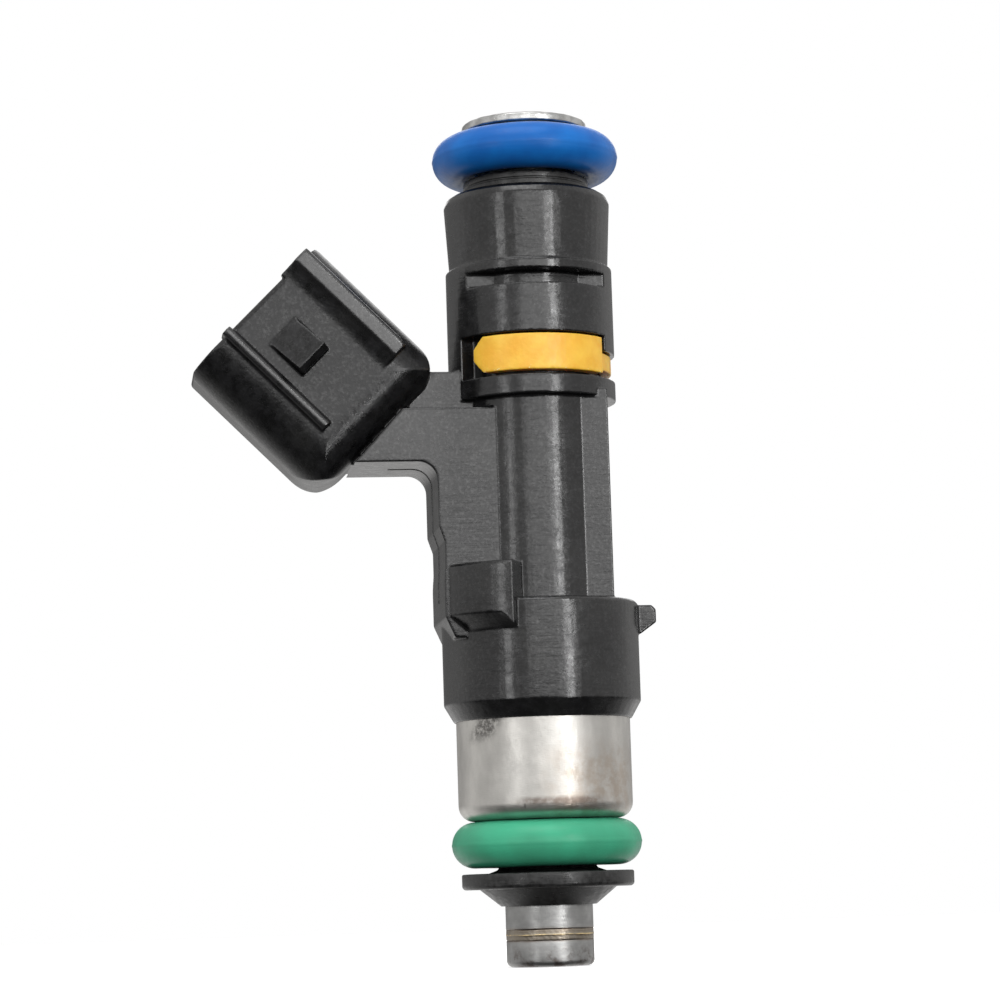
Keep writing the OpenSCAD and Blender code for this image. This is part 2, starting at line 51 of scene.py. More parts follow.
# ---------------------------------------------------------------- dimensions
# Millimetres, the same levels as the CAD part.
TUBE_R = 3.35
TUBE_BORE = 2.85
TUBE_TOP = 37.0
NECK_R = 3.75
WELD_Z = 2.4
CAN_R = 6.7
CAN_Z = 11.1
CAN_TOP = 25.7
SEAL_R = 5.525
SEAL_CORD_R = 1.765
LOWER_SEAL_Z = 9.3
UPPER_SEAL_Z = 62.8
COLLAR_TOP = 59.8
BACKUP_TOP = 61.0
INLET_Z = 34.0
INLET_TOP = 65.6
INLET_BORE = 3.2
LIP_R = 4.9
LIP_Z = 64.9
PLUG_ORIGIN = Vector((-12.06, 0.0, 40.86))
PLUG_ALONG = Vector((math.cos(math.radians(45)), 0.0, math.sin(math.radians(45))))
PLUG_OUT = Vector((-math.cos(math.radians(45)), 0.0, math.sin(math.radians(45))))

rng = np.random.default_rng(20)

# ---------------------------------------------------------------- materials


class Shader:
    """A procedural material on a Principled surface, in millimetre coordinates."""

    def __init__(self, name, colour, rough, metallic=0.0):
        self.material = bpy.data.materials.new(name)
        self.material.use_nodes = True
        self.tree = self.material.node_tree
        self.tree.nodes.clear()
        out = self.add("ShaderNodeOutputMaterial")
        self.surface = self.add("ShaderNodeBsdfPrincipled")
        self.link(self.surface.outputs[0], out.inputs[0])
        self.surface.inputs["Base Color"].default_value = (*colour, 1)
        self.surface.inputs["Roughness"].default_value = rough
        self.surface.inputs["Metallic"].default_value = metallic
        self.surface.inputs["IOR"].default_value = 1.5
        self.colour = colour
        coord = self.add("ShaderNodeTexCoord")
        scale = self.add("ShaderNodeVectorMath")
        scale.operation = "SCALE"
        scale.inputs["Scale"].default_value = 1 / MM
        self.link(coord.outputs["Object"], scale.inputs[0])
        self.place = scale.outputs[0]
        split = self.add("ShaderNodeSeparateXYZ")
        self.link(self.place, split.inputs[0])
        self.x, self.y, self.z = split.outputs
        self.last_bump = None

    def add(self, kind):
        return self.tree.nodes.new(kind)

    def link(self, a, b):
        self.tree.links.new(a, b)

    def feed(self, value, socket):
        if isinstance(value, (int, float)):
            socket.default_value = value
        else:
            self.link(value, socket)

    def math(self, operation, a, b=0.0):
        node = self.add("ShaderNodeMath")
        node.operation = operation
        self.feed(a, node.inputs[0])
        self.feed(b, node.inputs[1])
        return node.outputs[0]

    def times(self, a, *more):
        """The product of two or more values."""
        for b in more:
            a = self.math("MULTIPLY", a, b)
        return a

    def around(self, radius):
        """Coordinates on a round face: length round the axis, radius, height."""
        angle = self.math("ARCTAN2", self.y, self.x)
        length = self.math("MULTIPLY", angle, radius)
        join = self.add("ShaderNodeCombineXYZ")
        self.link(length, join.inputs[0])
        self.link(self.z, join.inputs[2])
        return join.outputs[0]

    def noise(self, scale, detail=3.0, stretch=(1, 1, 1), place=None, rough=0.5, shift=0.0):
        mapping = self.add("ShaderNodeMapping")
        mapping.inputs["Scale"].default_value = stretch
        mapping.inputs["Location"].default_value = (shift, shift * 0.7, shift * 1.3)
        self.link(place or self.place, mapping.inputs["Vector"])
        node = self.add("ShaderNodeTexNoise")
        node.inputs["Scale"].default_value = scale
        node.inputs["Detail"].default_value = detail
        node.inputs["Roughness"].default_value = rough
        self.link(mapping.outputs[0], node.inputs["Vector"])
        return node.outputs[0]

    def cells(self, scale, place, stretch=(1, 1, 1)):
        mapping = self.add("ShaderNodeMapping")
        mapping.inputs["Scale"].default_value = stretch
        self.link(place, mapping.inputs["Vector"])
        node = self.add("ShaderNodeTexVoronoi")
        node.inputs["Scale"].default_value = scale
        self.link(mapping.outputs[0], node.inputs["Vector"])
        return node.outputs["Distance"]

    def range(self, value, low, high, to_low=0.0, to_high=1.0):
        """Carries low..high over to to_low..to_high in an S curve."""
        node = self.add("ShaderNodeMapRange")
        node.interpolation_type = "SMOOTHSTEP"
        self.link(value, node.inputs["Value"])
        for socket, number in zip(
            ("From Min", "From Max", "To Min", "To Max"), (low, high, to_low, to_high)
        ):
            node.inputs[socket].default_value = number
        return node.outputs[0]

    def band(self, value, middle, half, soft):
        """1 where value is within half of middle, fading out over soft."""
        away = self.math("ABSOLUTE", self.math("SUBTRACT", value, middle))
        return self.range(away, half, half + soft, 1.0, 0.0)

    def mix(self, factor, a, b):
        node = self.add("ShaderNodeMix")
        node.data_type = "RGBA"
        self.feed(factor, node.inputs["Factor"])
        # A Mix node has a set of sockets for each data type; these are its colours
        for value, socket in ((a, node.inputs[6]), (b, node.inputs[7])):
            if isinstance(value, tuple):
                socket.default_value = (*value, 1)
            else:
                self.link(value, socket)
        return node.outputs[2]

    def paint(self, value):
        self.link(value, self.surface.inputs["Base Color"])

    def gloss(self, value):
        self.link(value, self.surface.inputs["Roughness"])

    def bump(self, height, distance, strength=1.0):
        """Adds relief of that depth in millimetres on top of any added before."""
        node = self.add("ShaderNodeBump")
        node.inputs["Strength"].default_value = strength
        node.inputs["Distance"].default_value = distance * MM
        self.link(height, node.inputs["Height"])
        if self.last_bump is not None:
            self.link(self.last_bump, node.inputs["Normal"])
        self.last_bump = node.outputs[0]
        self.link(self.last_bump, self.surface.inputs["Normal"])


def shade(colour, factor):
    return tuple(min(c * factor, 1.0) for c in colour)


def nylon():
    s = Shader("moulded_nylon", (0.006, 0.006, 0.0065), 0.25)
    mottle = s.noise(1.3, 4, rough=0.6)
    grain = s.noise(4.5, 3, rough=0.6)
    cloud = s.noise(0.25, 2)
    streak = s.noise(3.2, 4, stretch=(0.22, 1, 1), place=s.around(6.5), rough=0.65)
    tone = s.mix(s.range(mottle, 0.35, 0.7), shade(s.colour, 0.6), shade(s.colour, 1.8))
    s.paint(s.mix(s.range(cloud, 0.45, 0.7, 0.0, 0.4), tone, (0.020, 0.020, 0.0195)))
    # Where a point is in the plug's frame, and whether it is on the plug at all
    dx = s.math("SUBTRACT", s.x, PLUG_ORIGIN.x)
    dz = s.math("SUBTRACT", s.z, PLUG_ORIGIN.z)
    along = s.times(s.math("ADD", dx, dz), math.sqrt(0.5))
    out = s.times(s.math("SUBTRACT", dz, dx), math.sqrt(0.5))
    plug = s.times(s.range(s.x, -7.5, -7.0, 1.0, 0.0), s.range(out, 0.0, 0.5))
    proud = s.range(s.math("ABSOLUTE", s.y), 5.15, 5.4)
    rib = s.times(proud, plug, s.range(s.math("ABSOLUTE", along), 2.0, 2.3))
    flat = s.math("MAXIMUM", plug, s.range(s.x, -8.8, -6.5, 1.0, 0.0))
    # The turned faces are glossy, the shroud is duller but for its ribs
    turned = s.math("SUBTRACT", 1.0, flat)
    rough = s.times(s.range(streak, 0.3, 0.7, -0.055, 0.055), turned)
    rough = s.math("ADD", rough, s.range(mottle, 0.3, 0.7, 0.185, 0.265))
    s.gloss(s.math("ADD", rough, s.times(flat, 0.07)))
    level = s.math("ADD", 0.55, s.times(flat, 0.14))
    level = s.math("ADD", level, s.times(plug, -0.30))
    level = s.math("ADD", level, s.times(rib, 0.55))
    level = s.math("ADD", level, s.range(grain, 0.45, 0.75, 0.0, 0.25))
    s.link(level, s.surface.inputs["Specular IOR Level"])
    s.bump(s.times(grain, s.math("ADD", s.times(flat, 0.7), 0.3)), 0.016, 0.8)
    s.bump(s.times(streak, turned), 0.020, 0.8)
    s.bump(mottle, 0.030, 0.6)
    s.bump(cloud, 0.10, 0.4)
    return s.material


def ring_plastic():
    s = Shader("ring_plastic", (0.012, 0.012, 0.012), 0.34)
    s.surface.inputs["Specular IOR Level"].default_value = 0.45
    wear = s.noise(2.5, 4)
    s.paint(s.mix(s.range(wear, 0.4, 0.75), s.colour, (0.035, 0.035, 0.035)))
    s.gloss(s.range(wear, 0.3, 0.7, 0.26, 0.44))
    lines = s.noise(9.0, 2, stretch=(0.12, 1, 1), place=s.around(5.0))
    s.bump(lines, 0.012)
    return s.material


def can_steel():
    s = Shader("can_steel", (0.61, 0.595, 0.565), 0.42, metallic=1.0)
    skin = s.around(CAN_R)
    drawn = s.noise(0.7, 4, stretch=(1, 1, 0.5), place=skin)
    fine = s.noise(10, 3, stretch=(0.35, 1, 1), place=skin)
    tone = s.mix(s.range(drawn, 0.3, 0.75), shade(s.colour, 0.86), shade(s.colour, 1.08))
    # Painted brown reflection, low on the front, towards the side away from the plug
    turn = s.math("ARCTAN2", s.x, s.times(s.y, -1.0))
    cloud = s.noise(1.1, 4, place=skin, rough=0.65, shift=3.1)
    reflection_spot = s.times(s.band(turn, 0.55, 0.35, 0.5), s.band(s.z, 13.4, 1.2, 3.0))
    brown_reflection = s.times(reflection_spot, s.range(cloud, 0.35, 0.65, 0.1, 0.55))
    tone = s.mix(brown_reflection, tone, (0.42, 0.33, 0.25))
    # Painted shade: a darker line round the roll of the foot corner, broken up
    line = s.times(s.band(turn, 0.02, 0.30, 0.35), s.band(s.z, 12.35, 0.05, 0.45))
    foot_shade = s.times(line, s.range(cloud, 0.3, 0.6, 0.25, 0.75))
    tone = s.mix(foot_shade, tone, (0.13, 0.09, 0.07))
    # Dark smear running down under the edge of the skirt
    slant = s.math("ADD", turn, s.times(s.z, -0.11))
    smear = s.times(s.band(slant, -2.84, 0.07, 0.20), s.band(s.z, 18.2, 0.3, 1.3))
    smear = s.times(smear, s.range(s.noise(2.6, 4, place=skin, rough=0.7), 0.32, 0.6))
    tone = s.mix(s.times(smear, 0.85), tone, (0.10, 0.095, 0.09))
    # A few small dark nicks
    nick = s.range(s.cells(0.42, skin, stretch=(1, 1, 0.5)), 0.030, 0.06, 1.0, 0.0)
    s.paint(s.mix(s.times(nick, 0.6), tone, (0.14, 0.13, 0.12)))
    rough = s.range(fine, 0.3, 0.7, 0.36, 0.48)
    s.gloss(s.math("ADD", rough, s.times(smear, 0.15)))
    s.bump(fine, 0.006)
    s.bump(s.noise(2.2, 4, stretch=(1.6, 1, 0.4), place=skin, rough=0.7), 0.010, 0.6)
    s.bump(s.noise(0.5, 2, place=skin), 0.08, 0.5)
    return s.material


def tint_by_height(s, base):
    """Heat tint of the weld: a broken gold line in the middle, brown lines at its edges."""
    wobble = s.times(s.math("SUBTRACT", s.noise(0.7, 3), 0.5), 0.16)
    z = s.math("ADD", s.z, wobble)
    broken = s.range(s.noise(1.1, 3), 0.38, 0.6, 0.25, 1.0)
    tone = s.mix(s.times(s.band(z, WELD_Z, 0.32, 0.35), 0.5), base, (0.24, 0.195, 0.15))
    # Height, half width, soft edge, strength and colour of each line
    lines = (
        (WELD_Z + 0.42, 0.01, 0.08, 0.60, (0.13, 0.07, 0.04)),
        (WELD_Z + 0.26, 0.01, 0.06, 0.35, (0.14, 0.09, 0.06)),
        (WELD_Z - 0.44, 0.01, 0.08, 0.55, (0.13, 0.075, 0.045)),
        (WELD_Z - 0.10, 0.01, 0.07, 0.60, (0.09, 0.06, 0.035)),
        (WELD_Z + 0.01, 0.01, 0.06, 0.95, (0.85, 0.66, 0.34)),
    )
    for height, half, soft, share, colour in lines:
        tone = s.mix(s.times(s.band(z, height, half, soft), share, broken), tone, colour)
    return tone


def nozzle_steel():
    s = Shader("nozzle_steel", (0.37, 0.37, 0.365), 0.4, metallic=1.0)
    skin = s.around(TUBE_R)
    turned = s.noise(7.0, 4, stretch=(0.05, 1, 1), place=skin, rough=0.7)
    cloud = s.noise(0.8, 3)
    tone = s.mix(s.range(cloud, 0.35, 0.7), shade(s.colour, 0.85), shade(s.colour, 1.08))
    # Soot low on the tip
    patch = s.range(s.noise(0.9, 4, rough=0.65, shift=1.7), 0.46, 0.66)
    soot = s.times(patch, s.range(s.z, 0.3, 2.0, 0.8, 0.0))
    tone = s.mix(soot, tone, (0.10, 0.075, 0.065))
    s.paint(tint_by_height(s, tone))
    s.gloss(s.range(turned, 0.3, 0.7, 0.36, 0.50))
    s.bump(turned, 0.003)
    s.bump(s.noise(1.2, 3, stretch=(0.7, 1, 1.3), place=skin), 0.04, 0.6)
    return s.material


def weld_tint():
    s = Shader("weld_tint", (0.32, 0.29, 0.24), 0.36, metallic=1.0)
    skin = s.around(TUBE_R)
    tone = s.mix(s.range(s.noise(3.0, 3), 0.3, 0.7), s.colour, (0.37, 0.35, 0.31))
    s.paint(tint_by_height(s, tone))
    s.gloss(s.range(s.noise(5, 3), 0.3, 0.7, 0.34, 0.46))
    s.bump(s.noise(6.0, 3, stretch=(1, 1, 0.3), place=skin), 0.006)
    return s.material


def bright_steel():
    s = Shader("bright_steel", (0.52, 0.52, 0.51), 0.3, metallic=1.0)
    skin = s.around(4.0)
    turned = s.noise(9.0, 3, stretch=(0.06, 1, 1), place=skin, rough=0.7)
    tone = s.range(s.noise(1.5, 4), 0.35, 0.7)
    s.paint(s.mix(tone, shade(s.colour, 0.72), shade(s.colour, 1.08)))
    s.gloss(s.range(turned, 0.3, 0.7, 0.24, 0.42))
    s.bump(turned, 0.012)
    s.bump(s.noise(5.0, 4), 0.03, 0.6)
    return s.material


def rubber(name, colour, lit):
    s = Shader(name, colour, 0.34)
    s.surface.inputs["Specular IOR Level"].default_value = 0.2
    skin = s.around(SEAL_R)
    dust = s.noise(3.0, 4, rough=0.7)
    bloom = s.noise(0.35, 2)
    tone = s.mix(s.range(bloom, 0.35, 0.7), shade(colour, 0.9), lit)
    s.paint(s.mix(s.range(dust, 0.60, 0.8, 0.0, 0.15), tone, shade(lit, 1.4)))
    s.gloss(s.range(dust, 0.35, 0.7, 0.28, 0.42))
    s.bump(s.noise(6.0, 3, stretch=(0.5, 1, 1), place=skin), 0.008)
    s.bump(s.noise(0.9, 2, stretch=(1, 1, 0.5), place=skin), 0.04, 0.5)
    return s.material


def orange_plastic():
    s = Shader("orange_plastic", (0.98, 0.50, 0.035), 0.38)
    s.surface.inputs["Subsurface Weight"].default_value = 0.25
    s.surface.inputs["Subsurface Radius"].default_value = (0.0012, 0.0006, 0.0002)
    s.surface.inputs["Subsurface Scale"].default_value = 1.0
    tone = s.mix(s.range(s.noise(0.7, 3), 0.35, 0.7), shade(s.colour, 0.94), (1.0, 0.58, 0.06))
    # Pale flecks where the lower edge was trimmed
    fleck = s.range(s.cells(3.2, s.around(6.4)), 0.10, 0.16, 1.0, 0.0)
    low_edge = s.band(s.z, 45.25, 0.12, 0.15)
    s.paint(s.mix(s.times(fleck, low_edge, 0.8), tone, (0.95, 0.88, 0.72)))
    s.gloss(s.range(s.noise(4.0, 3), 0.3, 0.7, 0.32, 0.46))
    s.bump(s.noise(3.0, 3), 0.025)
    return s.material


def plain_metal(name, colour, rough, radius, spread=0.15, lines=0.012):
    s = Shader(name, colour, rough, metallic=1.0)
    turned = s.noise(8.0, 3, stretch=(0.08, 1, 1), place=s.around(radius), rough=0.7)
    tone = s.range(s.noise(1.3, 4), 0.3, 0.7)
    s.paint(s.mix(tone, shade(colour, 1 - spread), shade(colour, 1 + spread / 2)))
    s.gloss(s.range(turned, 0.3, 0.7, rough * 0.8, rough * 1.25))
    s.bump(turned, lines)
    return s.material


def plain_plastic(name, colour, rough):
    s = Shader(name, colour, rough)
    s.paint(s.mix(s.range(s.noise(1.5, 4), 0.3, 0.7), shade(colour, 0.8), shade(colour, 1.2)))
    s.gloss(s.range(s.noise(6.0, 3), 0.3, 0.7, rough * 0.85, rough * 1.2))
    s.bump(s.noise(7.0, 3), 0.02)
    return s.material


def copper_wire():
    s = Shader("copper_wire", (0.62, 0.22, 0.08), 0.3, metallic=0.85)
    s.paint(s.mix(s.range(s.noise(4.0, 4), 0.3, 0.7), (0.5, 0.16, 0.05), (0.72, 0.30, 0.12)))
    s.gloss(s.range(s.noise(9.0, 3), 0.3, 0.7, 0.22, 0.4))
    s.bump(s.noise(12.0, 3), 0.008)
    return s.material


MATERIALS = {
    "moulded_nylon": nylon(),
    "ring_plastic": ring_plastic(),
    "can_steel": can_steel(),
    "nozzle_steel": nozzle_steel(),
    "weld_tint": weld_tint(),
    "bright_steel": bright_steel(),
    "blue_rubber": rubber("blue_rubber", (0.008, 0.125, 0.47), (0.008, 0.155, 0.53)),
    "green_rubber": rubber("green_rubber", (0.060, 0.38, 0.22), (0.058, 0.41, 0.235)),
    "orange_plastic": orange_plastic(),
    "core_steel": plain_metal("core_steel", (0.50, 0.50, 0.51), 0.34, 2.8),
    "bobbin_plastic": plain_plastic("bobbin_plastic", (0.07, 0.055, 0.04), 0.45),
    "copper_wire": copper_wire(),
    "contact_metal": plain_metal("contact_metal", (0.74, 0.72, 0.66), 0.25, 3.0),
    "spring_steel": plain_metal("spring_steel", (0.62, 0.62, 0.64), 0.22, 1.2),
    "needle_steel": plain_metal("needle_steel", (0.60, 0.60, 0.62), 0.24, 1.2),
    "ball_steel": plain_metal("ball_steel", (0.72, 0.72, 0.74), 0.12, 1.5, 0.05, 0.004),
    "filter_brass": plain_metal("filter_brass", (0.62, 0.46, 0.20), 0.32, 2.5),
    "filter_gauze": plain_metal("filter_gauze", (0.60, 0.57, 0.50), 0.3, 2.4),
}

# ---------------------------------------------------------------- building pieces


def to_object(name, mesh):
    o = bpy.data.objects.new(name, mesh)
    COLLECTION.objects.link(o)
    return o


def finish_piece(o, slot, body, node=None):
    o.data.materials.clear()
    o.data.materials.append(MATERIALS[slot])
    for polygon in o.data.polygons:
        polygon.use_smooth = True
        polygon.material_index = 0
    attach(o, body)
    if node:
        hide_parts(node)
    return o


def mesh_from(name, points, faces):
    mesh = bpy.data.meshes.new(name)
    mesh.from_pydata([tuple(c * MM for c in p) for p in points], [], faces)
    mesh.update()
    return mesh


def rounded(corners, steps=5):
    """A closed outline of (r, z, radius) corners with each corner rounded off."""
    out = []
    count = len(corners)
    for i, (r, z, radius) in enumerate(corners):
        here = Vector((r, z))
        before = Vector(corners[i - 1][:2])
        after = Vector(corners[(i + 1) % count][:2])
        if radius <= 0:
            out.append(here)
            continue
        a = (before - here).normalized()
        b = (after - here).normalized()
        half = a.angle(b) / 2
        room = min((before - here).length, (after - here).length)
        cut = min(radius / math.tan(half), room * 0.9)
        fit = cut * math.tan(half)
        centre = here + (a + b).normalized() * (fit / math.sin(half))
        start = here + a * cut - centre
        turn = start.angle_signed(here + b * cut - centre)
        for k in range(steps + 1):
            t = -turn * k / steps
            out.append(centre + Vector((
                start.x * math.cos(t) - start.y * math.sin(t),
                start.x * math.sin(t) + start.y * math.cos(t),
            )))
    return out


def lathe(name, outline, segments=192, wobble=None):
    """A closed outline in (r, z) turned about the valve axis."""
    points, faces = [], []
    n = len(outline)
    for s in range(segments):
        a = 2 * math.pi * s / segments
        for r, z in outline:
            if wobble:
                r, z = wobble(a, r, z)
            points.append((r * math.cos(a), r * math.sin(a), z))
    for s in range(segments):
        t = (s + 1) % segments
        for k in range(n):
            m = (k + 1) % n
            faces.append((s * n + k, t * n + k, t * n + m, s * n + m))
    o = to_object(name, mesh_from(name, points, faces))
    outward(o)
    return o


def outward(o):
    bm = bmesh.new()
    bm.from_mesh(o.data)
    bmesh.ops.recalc_face_normals(bm, faces=bm.faces)
    bm.to_mesh(o.data)
    bm.free()


def even_normals(o):
    modifier = o.modifiers.new("even_normals", "WEIGHTED_NORMAL")
    modifier.keep_sharp = False


def baked(o):
    """Replaces the mesh of o by what its modifiers make of it."""
    bpy.context.view_layer.update()
    graph = bpy.context.evaluated_depsgraph_get()
    mesh = bpy.data.meshes.new_from_object(o.evaluated_get(graph))
    o.modifiers.clear()
    o.data = mesh
    return o


def welded_copy(node, name):
    """A copy of a CAD node with its faces joined up, as a new object in millimetres."""
    o = to_object(name, NODES[node].data.copy())
    o.data.transform(Matrix.Scale(1 / MM, 4))
    bm = bmesh.new()
    bm.from_mesh(o.data)
    bmesh.ops.remove_doubles(bm, verts=bm.verts, dist=0.0005)
    bm.to_mesh(o.data)
    bm.free()
    return o


def softened(o, voxel, passes, most_faces):
    """Rounds every edge of a closed mesh a little, as moulded plastic has them."""
    remesh = o.modifiers.new("remesh", "REMESH")
    remesh.mode = "VOXEL"
    remesh.voxel_size = voxel
    baked(o)
    smooth = o.modifiers.new("smooth", "SMOOTH")
    smooth.factor = 0.5
    smooth.iterations = passes
    triangles = 2 * len(o.data.polygons)
    if triangles > most_faces:
        thin = o.modifiers.new("thin", "DECIMATE")
        thin.ratio = most_faces / triangles
    baked(o)
    o.data.transform(Matrix.Scale(MM, 4))
    return o


def sweep(name, path, radius, sides=8, closed=False):
    """A round wire along a list of points, in millimetres."""
    points, faces = [], []
    count = len(path)
    path = [Vector(p) for p in path]
    side = None
    for i, p in enumerate(path):
        ahead = path[(i + 1) % count] if closed or i < count - 1 else p
        behind = path[i - 1] if closed or i > 0 else p
        along = (ahead - behind).normalized()
        if side is None:
            side = along.orthogonal().normalized()
        side = (side - along * side.dot(along)).normalized()
        up = along.cross(side)
        for k in range(sides):
            a = 2 * math.pi * k / sides
            points.append(p + side * radius * math.cos(a) + up * radius * math.sin(a))
    for i in range(count if closed else count - 1):
        j = (i + 1) % count
        for k in range(sides):
            m = (k + 1) % sides
            faces.append((i * sides + k, i * sides + m, j * sides + m, j * sides + k))
    if not closed:
        faces.append(tuple(reversed(range(sides))))
        faces.append(tuple(range((count - 1) * sides, count * sides)))
    o = to_object(name, mesh_from(name, points, faces))
    outward(o)
    return o


def joined(name, objects):
    """One object from several; the others are removed."""
    bm = bmesh.new()
    for o in objects:
        bm.from_mesh(o.data)
    mesh = bpy.data.meshes.new(name)
    bm.to_mesh(mesh)
    bm.free()
    for o in objects:
        bpy.data.objects.remove(o)
    return to_object(name, mesh)


# ---------------------------------------------------------------- moulding

VOXEL = 0.085
SMOOTHING = 5
MOST_FACES = 195000

moulding = softened(welded_copy("overmould_body", "moulded_shell"), VOXEL, SMOOTHING, MOST_FACES)
finish_piece(moulding, "moulded_nylon", "injector_body", "overmould_body")

shell_tree = BVHTree.FromPolygons(
    [v.co / MM for v in moulding.data.vertices],
    [tuple(p.vertices) for p in moulding.data.polygons],
)


def on_shell(origin, towards):
    """Where a ray first meets the moulding, or None."""
    return shell_tree.ray_cast(Vector(origin), Vector(towards))[0]


def plug_at(along, out):
    return PLUG_ORIGIN + PLUG_ALONG * along + PLUG_OUT * out


LONGEST_STEP, SHORTEST_STEP = 2.0, 0.12
PARTING_R = 0.055


def parting_line(name, rays):
    """A fine raised line along the points where the rays meet the moulding."""
    path = []
    for origin, towards in rays:
        hit = on_shell(origin, towards)
        if hit is None or (path and (hit - path[-1]).length > LONGEST_STEP):
            continue
        if not path or (hit - path[-1]).length > SHORTEST_STEP:
            path.append(hit)
    line = sweep(name, path, PARTING_R, 6)
    return finish_piece(line, "moulded_nylon", "injector_body")


FAR = 30.0
# Centre of the fillet between the web and the underside of the arm
FILLET = Vector((-9.6, 0.0, 36.9))
web_rays = [((-FAR, 0, z), (1, 0, 0)) for z in np.linspace(27.9, 36.8, 46)]
web_rays += [
    (FILLET, (math.cos(a), 0, math.sin(a))) for a in np.linspace(0.05, math.pi / 2 - 0.05, 12)
]
web_rays += [((x, 0, 30), (0, 0, 1)) for x in np.linspace(-9.7, -11.5, 9)]
web_rays += [(plug_at(-FAR, w), PLUG_ALONG) for w in np.linspace(0.9, 13.3, 60)]
parting_line("parting_line_plug_side", web_rays)
parting_line(
    "parting_line_flat_side", [((FAR, 0, z), (-1, 0, 0)) for z in np.linspace(28.1, 42.9, 70)]
)
parting_line(
    "parting_line_plug_top",
    [(plug_at(FAR, w), -PLUG_ALONG) for w in np.linspace(13.3, 7.2, 32)],
)

# ---------------------------------------------------------------- marker clip

clip = softened(welded_copy("marker_clip", "marker_band"), 0.07, 8, 60000)
finish_piece(clip, "orange_plastic", "injector_body", "marker_clip")

# ---------------------------------------------------------------- seal rings


def seal(name, z, slot, node):
    """An O-ring with a fine moulding ridge inside and outside, a little uneven as rubber is."""
    ridge, ridge_reach = 0.028, 0.09
    outline = []
    steps = 72
    for k in range(steps):
        a = 2 * math.pi * k / steps
        r = SEAL_CORD_R - 0.01
        for middle in (0.0, math.pi):
            away = abs((a - middle + math.pi) % (2 * math.pi) - math.pi) * SEAL_CORD_R
            r += ridge * max(0.0, 1 - away / ridge_reach)
        outline.append((SEAL_R + r * math.cos(a), z + r * math.sin(a)))

    def wobble(a, r, h):
        swell = 0.006 * math.sin(3 * a + z) + 0.004 * math.sin(7 * a + 2 * z)
        return SEAL_R + (r - SEAL_R) * (1 + swell), z + (h - z) * (1 + swell)

    ring = lathe(name, outline, 240, wobble)
    return finish_piece(ring, slot, "injector_body", node)


seal("blue_seal_ring", UPPER_SEAL_Z, "blue_rubber", "upper_seal_ring")
seal("green_seal_ring", LOWER_SEAL_Z, "green_rubber", "lower_seal_ring")

# ---------------------------------------------------------------- turned metal and rings

CAN_WALL, CAN_FLOOR = 0.6, 1.6
can = lathe("coil_can", rounded([
    (TUBE_R, CAN_Z, 0.05),
    (CAN_R, CAN_Z, 1.2),
    (CAN_R, CAN_TOP, 0.05),
    (CAN_R - CAN_WALL, CAN_TOP, 0.05),
    (CAN_R - CAN_WALL, CAN_Z + CAN_FLOOR, 0.3),
    (TUBE_R, CAN_Z + CAN_FLOOR, 0.05),
], 8), 256)
even_normals(finish_piece(can, "can_steel", "injector_body", "magnet_housing"))

# The weld bead fills a groove in the tube
WELD_LOW, WELD_HIGH, WELD_FLOOR_R = 2.0, 2.8, TUBE_R - 0.2
tube = lathe("nozzle_tube", rounded([
    (TUBE_BORE, 0.0, 0.12),
    (TUBE_R, 0.0, 0.48),
    (TUBE_R, 1.90, 0.0),
    (TUBE_R - 0.012, 1.98, 0.0),
    (WELD_FLOOR_R, WELD_LOW, 0.0),
    (WELD_FLOOR_R, WELD_HIGH, 0.0),
    (TUBE_R - 0.012, 2.82, 0.0),
    (TUBE_R, 2.90, 0.0),
    (TUBE_R, TUBE_TOP, 0.05),
    (TUBE_BORE, TUBE_TOP, 0.05),
], 8), 192)
even_normals(finish_piece(tube, "nozzle_steel", "injector_body", "valve_tube"))


def bead_wobble(a, r, z):
    """The overlapping pulses of the laser; the floor of the groove stays as it is."""
    if r < TUBE_R - 0.15:
        return r, z
    ripple = 0.003 * math.sin(46 * a + 5 * math.sin(3 * (z - WELD_Z))) + 0.003 * math.sin(5 * a)
    return r + ripple, z + 0.015 * math.sin(4 * a + 1) + 0.01 * math.sin(9 * a)


bead_outline = [(WELD_FLOOR_R, WELD_LOW), (TUBE_R - 0.014, WELD_LOW)]
bead_outline += [
    (
        TUBE_R - 0.012 + 0.015 * math.sin(math.pi * t) ** 0.5
        + 0.018 * math.exp(-((t - 0.5) / 0.06) ** 2),
        WELD_LOW + 0.8 * t,
    )
    for t in np.linspace(0.04, 0.96, 25)
]
bead_outline += [(TUBE_R - 0.014, WELD_HIGH), (WELD_FLOOR_R, WELD_HIGH)]
bead = lathe("seat_weld", bead_outline, 384, bead_wobble)
finish_piece(bead, "weld_tint", "injector_body", "seat_weld_bead")

SUPPORT_R, SUPPORT_LOW, SUPPORT_EDGE, SUPPORT_TOP = 6.6, 4.6, 5.9, 7.1
support = lathe("support_ring", rounded([
    (TUBE_R, SUPPORT_LOW, 0.03),
    (3.65, SUPPORT_LOW, 0.08),
    (5.25, SUPPORT_EDGE, 0.12),
    (SUPPORT_R, SUPPORT_EDGE, 0.32),
    (SUPPORT_R, SUPPORT_TOP, 0.14),
    (4.6, SUPPORT_TOP, 0.1),
    (NECK_R, 7.4, 0.3),
    (NECK_R, CAN_Z, 0.05),
    (TUBE_R, CAN_Z, 0.03),
], 6), 224)
even_normals(finish_piece(support, "ring_plastic", "injector_body", "lower_support_ring"))

